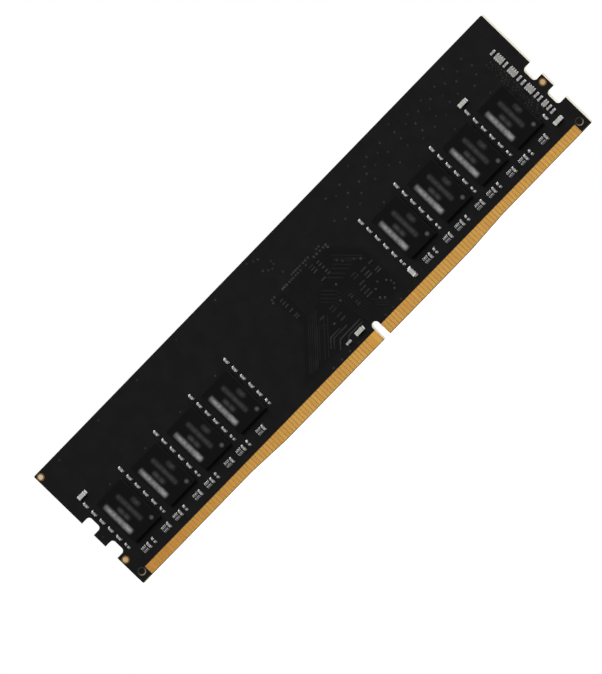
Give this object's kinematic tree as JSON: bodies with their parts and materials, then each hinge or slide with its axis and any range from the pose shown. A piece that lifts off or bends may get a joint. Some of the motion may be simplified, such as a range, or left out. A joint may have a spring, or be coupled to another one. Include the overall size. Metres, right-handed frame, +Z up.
{
  "type": "memory module",
  "caption": "Desktop memory module: black circuit board with gold edge contacts on both sides, a key notch, latch notches, moulded memory packages and small chip parts.",
  "frame": {"origin": "middle of the contact edge's length and of the board's thickness, at the edge's lowest line", "axes": "+X along the board towards the end with the termination arrays, +Y out of the back face (the memory packages face -Y), +Z up from the contact edge"},
  "size_m": [0.1334, 0.0034, 0.0312],
  "materials": {
    "laminate": "sawn glass-epoxy edge, dark olive",
    "copper": "rolled copper foil",
    "solder_mask": "satin black liquid solder mask",
    "gold_marks": "immersion gold over nickel",
    "gold_contacts": "hard gold plating with fine rub marks",
    "mould_compound": "matt black epoxy moulding",
    "package_substrate": "dark green laminate edge",
    "silicon": "polished silicon",
    "solder": "bright lead-free solder",
    "tin_plating": "matt tin",
    "capacitor_ceramic": "fired ceramic, grey-tan",
    "resistor_overcoat": "black glass overcoat"
  },
  "bodies": {
    "root": {"core_laminate": "laminate", "front_prepreg": "laminate", "back_prepreg": "laminate", "ground_plane": "copper", "power_plane": "copper", "solder_mask_front": "solder_mask", "solder_mask_back": "solder_mask", "surface_marks": "gold_marks", "contacts_front_left": "gold_contacts", "contacts_front_right": "gold_contacts", "contacts_back_left": "gold_contacts", "contacts_back_right": "gold_contacts", "dram_1_cap": "mould_compound", "dram_1_die": "silicon", "dram_1_substrate": "package_substrate", "dram_1_balls": "solder", "dram_2_cap": "mould_compound", "dram_2_die": "silicon", "dram_2_substrate": "package_substrate", "dram_2_balls": "solder", "dram_3_cap": "mould_compound", "dram_3_die": "silicon", "dram_3_substrate": "package_substrate", "dram_3_balls": "solder", "dram_4_cap": "mould_compound", "dram_4_die": "silicon", "dram_4_substrate": "package_substrate", "dram_4_balls": "solder", "dram_5_cap": "mould_compound", "dram_5_die": "silicon", "dram_5_substrate": "package_substrate", "dram_5_balls": "solder", "dram_6_cap": "mould_compound", "dram_6_die": "silicon", "dram_6_substrate": "package_substrate", "dram_6_balls": "solder", "dram_7_cap": "mould_compound", "dram_7_die": "silicon", "dram_7_substrate": "package_substrate", "dram_7_balls": "solder", "dram_8_cap": "mould_compound", "dram_8_die": "silicon", "dram_8_substrate": "package_substrate", "dram_8_balls": "solder", "decoupling_cap_bodies": "capacitor_ceramic", "decoupling_cap_terminals": "tin_plating", "bulk_cap_bodies": "capacitor_ceramic", "bulk_cap_terminals": "tin_plating", "data_array_bodies": "resistor_overcoat", "data_array_terminals": "tin_plating", "end_array_bodies": "capacitor_ceramic", "end_array_terminals": "tin_plating", "resistor_bodies": "resistor_overcoat", "resistor_terminals": "tin_plating", "solder_fillets": "solder", "spd_body": "mould_compound", "spd_terminals": "tin_plating"}
  },
  "joints": []
}
